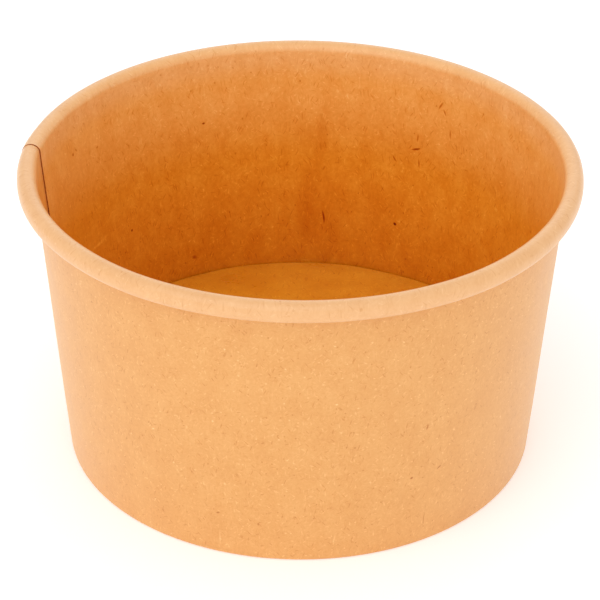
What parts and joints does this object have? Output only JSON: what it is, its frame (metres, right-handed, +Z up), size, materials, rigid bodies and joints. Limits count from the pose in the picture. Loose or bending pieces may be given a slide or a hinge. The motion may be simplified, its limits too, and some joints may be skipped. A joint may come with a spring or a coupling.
{
  "type": "paper ice cream tub",
  "caption": "Round open-topped tub of brown kraft board with sloping sides, a rolled rim bead, a lapped side seam and a recessed floor.",
  "frame": {"origin": "centre of the ring that the tub stands on, on the ground plane", "axes": "+Z up along the tub's axis, out of its mouth; the side seam's inner edge lies near -X, at 175 degrees from +X"},
  "size_m": [0.0967, 0.0964, 0.054],
  "materials": {
    "kraft_board": "matte"
  },
  "bodies": {
    "root": {"side_wall": "kraft_board", "base": "kraft_board"}
  },
  "joints": []
}
